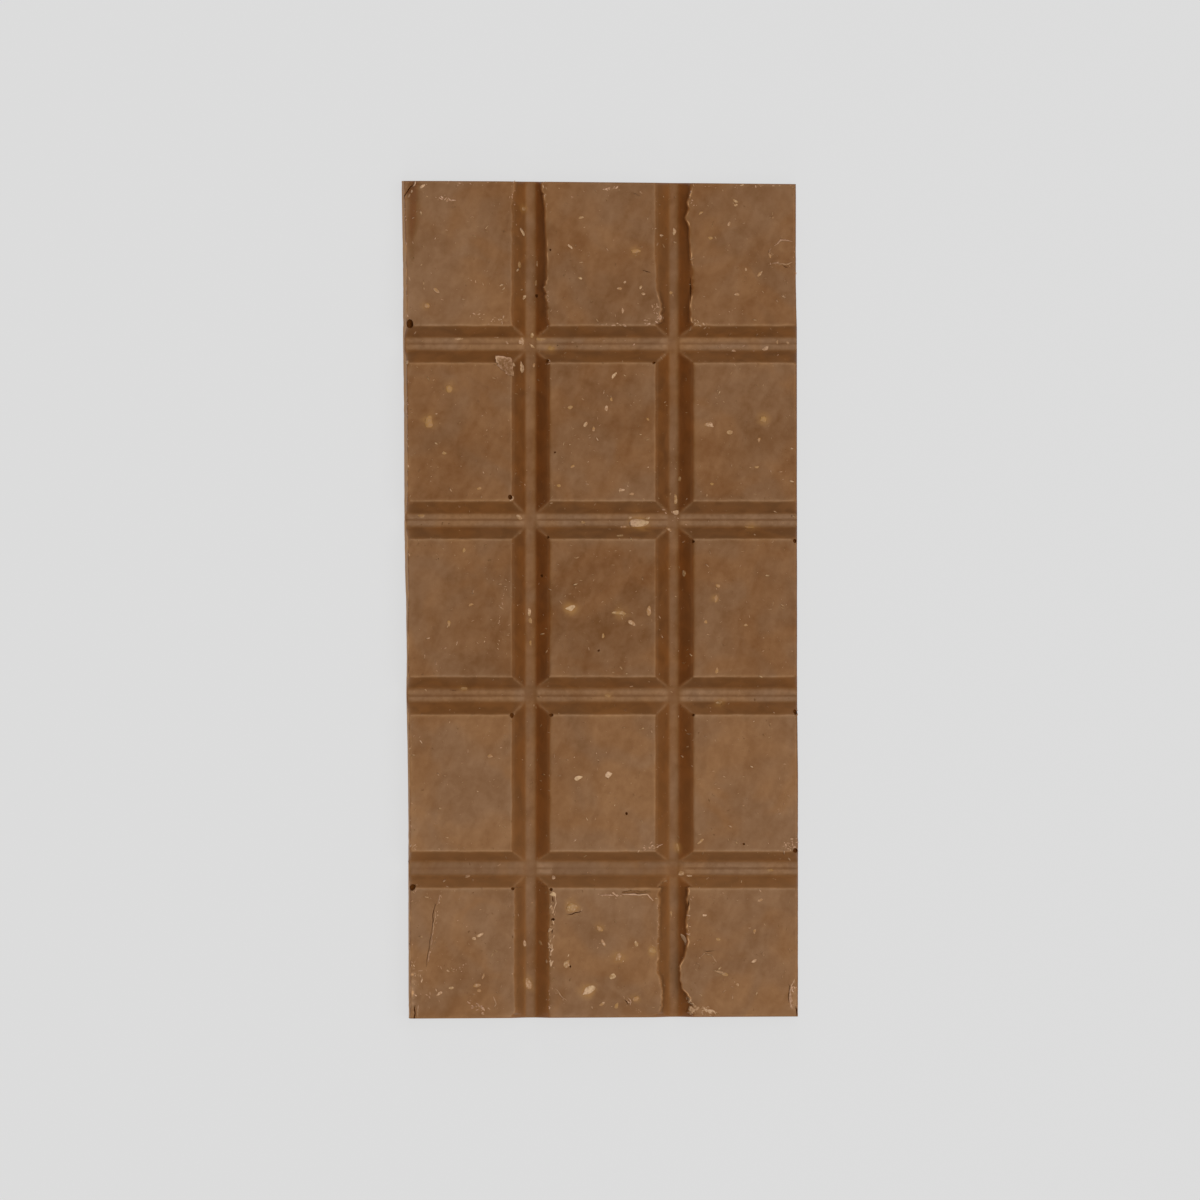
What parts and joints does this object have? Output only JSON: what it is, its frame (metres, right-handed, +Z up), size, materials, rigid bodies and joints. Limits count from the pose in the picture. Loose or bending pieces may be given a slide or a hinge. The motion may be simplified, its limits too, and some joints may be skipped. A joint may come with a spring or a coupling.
{
  "type": "chocolate bar",
  "caption": "Flat bar of milk chocolate with finely chopped nuts, divided into squares by sloping grooves, lying on its plain back.",
  "frame": {"origin": "middle of the flat underside, on the surface that the bar lies on", "axes": "+Z up through the moulded face, +Y along the bar, +X across it"},
  "size_m": [0.0756, 0.1594, 0.0079],
  "materials": {
    "milk_chocolate": "satin milk chocolate, faintly mottled, with small nut pieces in it",
    "chopped_nut": "dry broken nut, cream to tan"
  },
  "bodies": {
    "root": {"chocolate_bar": "milk_chocolate"}
  },
  "joints": []
}
